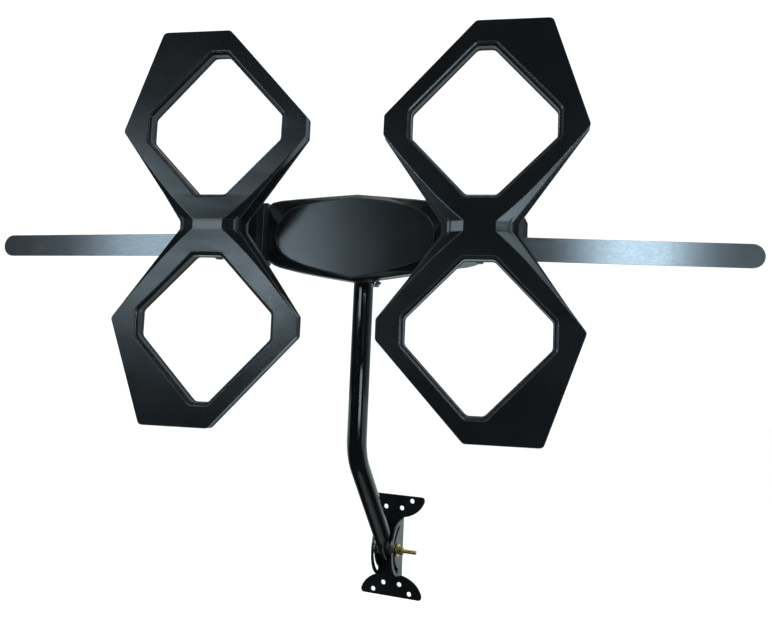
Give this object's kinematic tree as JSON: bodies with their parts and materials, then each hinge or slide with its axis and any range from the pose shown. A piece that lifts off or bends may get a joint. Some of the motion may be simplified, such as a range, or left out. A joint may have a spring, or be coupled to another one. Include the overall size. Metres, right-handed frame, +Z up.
{
  "type": "outdoor television antenna",
  "caption": "Outdoor TV antenna: loop panels on arms each side of a central housing, dipole strips, bent mast and wall bracket, to receive broadcasts.",
  "frame": {"origin": "middle of the wall plate's flat back face, so the wall is the plane Y = 0", "axes": "+Z up along the upright part of the mast, +Y into the wall, +X to the right seen from the front; the receiving side faces -Y, turned 11.8 degrees towards +X"},
  "size_m": [0.8858, 0.3428, 0.7111],
  "materials": {
    "black_enamel": "semi-gloss black enamel on pressed steel",
    "gloss_black_enamel": "gloss black enamel on steel tube",
    "strip_enamel": "satin black enamel on flat metal strip",
    "black_plastic": "satin black moulded ABS",
    "dark_plastic": "matt black moulded ABS",
    "yellow_zinc": "yellow passivated zinc on steel",
    "zinc": "bright zinc on steel",
    "nickel": "nickel plate on brass",
    "dielectric": "white plastic insulator",
    "soft_rubber": "black rubber",
    "board": "green laminate",
    "ferrite": "sintered ferrite",
    "element_metal": "mill finish aluminium sheet"
  },
  "bodies": {
    "bracket": {"pivot_bolt": "yellow_zinc", "pivot_lock_washer": "yellow_zinc", "pivot_nut": "yellow_zinc", "pivot_spacer_left": "zinc", "pivot_spacer_right": "zinc", "pivot_washer_left": "yellow_zinc", "pivot_washer_right": "yellow_zinc", "wall_bracket": "black_enamel"},
    "mast": {"mast_tube": "gloss_black_enamel", "mast_cap": "soft_rubber"},
    "head": {"arm_left": "dark_plastic", "arm_right": "dark_plastic", "arm_screw_left": "zinc", "arm_screw_right": "zinc", "balun_core": "ferrite", "board_screw_1": "zinc", "board_screw_2": "zinc", "circuit_board": "board", "clamp_bolt_left": "zinc", "clamp_bolt_right": "zinc", "clamp_jaw": "dark_plastic", "clamp_washer_left": "zinc", "clamp_washer_right": "zinc", "clamp_wing_nut_left": "zinc", "clamp_wing_nut_right": "zinc", "coax_insulator": "dielectric", "coax_jack": "nickel", "coax_jack_nut": "nickel", "hinge_bolt_left": "zinc", "hinge_bolt_right": "zinc", "hinge_nut_left": "zinc", "hinge_nut_right": "zinc", "housing_front": "black_plastic", "housing_rear": "dark_plastic", "housing_screw_1": "zinc", "housing_screw_2": "zinc", "housing_screw_3": "zinc", "housing_screw_4": "zinc", "housing_seal": "soft_rubber", "strip_screw_left": "zinc", "strip_screw_right": "zinc", "vhf_strip_left": "strip_enamel", "vhf_strip_right": "strip_enamel"},
    "panel_right": {"loop_element_right": "element_metal", "panel_cover_right": "dark_plastic", "panel_screw_right_1": "zinc", "panel_screw_right_2": "zinc", "panel_screw_right_3": "zinc", "panel_screw_right_4": "zinc", "panel_shell_right": "black_plastic"},
    "panel_left": {"loop_element_left": "element_metal", "panel_cover_left": "dark_plastic", "panel_screw_left_1": "zinc", "panel_screw_left_2": "zinc", "panel_screw_left_3": "zinc", "panel_screw_left_4": "zinc", "panel_shell_left": "black_plastic"}
  },
  "joints": [
    {"name": "mast_tilt", "type": "hinge", "parent": "bracket", "child": "mast", "pos_m": [0, -0.0242, 0], "axis": [1, 0, 0], "range_deg": [-35, 95]},
    {"name": "head_turn", "type": "hinge", "parent": "mast", "child": "head", "pos_m": [0, -0.1484, 0.41], "axis": [0, 0, 1], "continuous": true},
    {"name": "panel_turn_right", "type": "hinge", "parent": "head", "child": "panel_right", "pos_m": [0.17108, -0.22401, 0.41], "axis": [0, 0, 1], "range_deg": [-12, 12]},
    {"name": "panel_turn_left", "type": "hinge", "parent": "head", "child": "panel_left", "pos_m": [-0.1265, -0.28618, 0.41], "axis": [0, 0, 1], "range_deg": [-12, 12]}
  ]
}
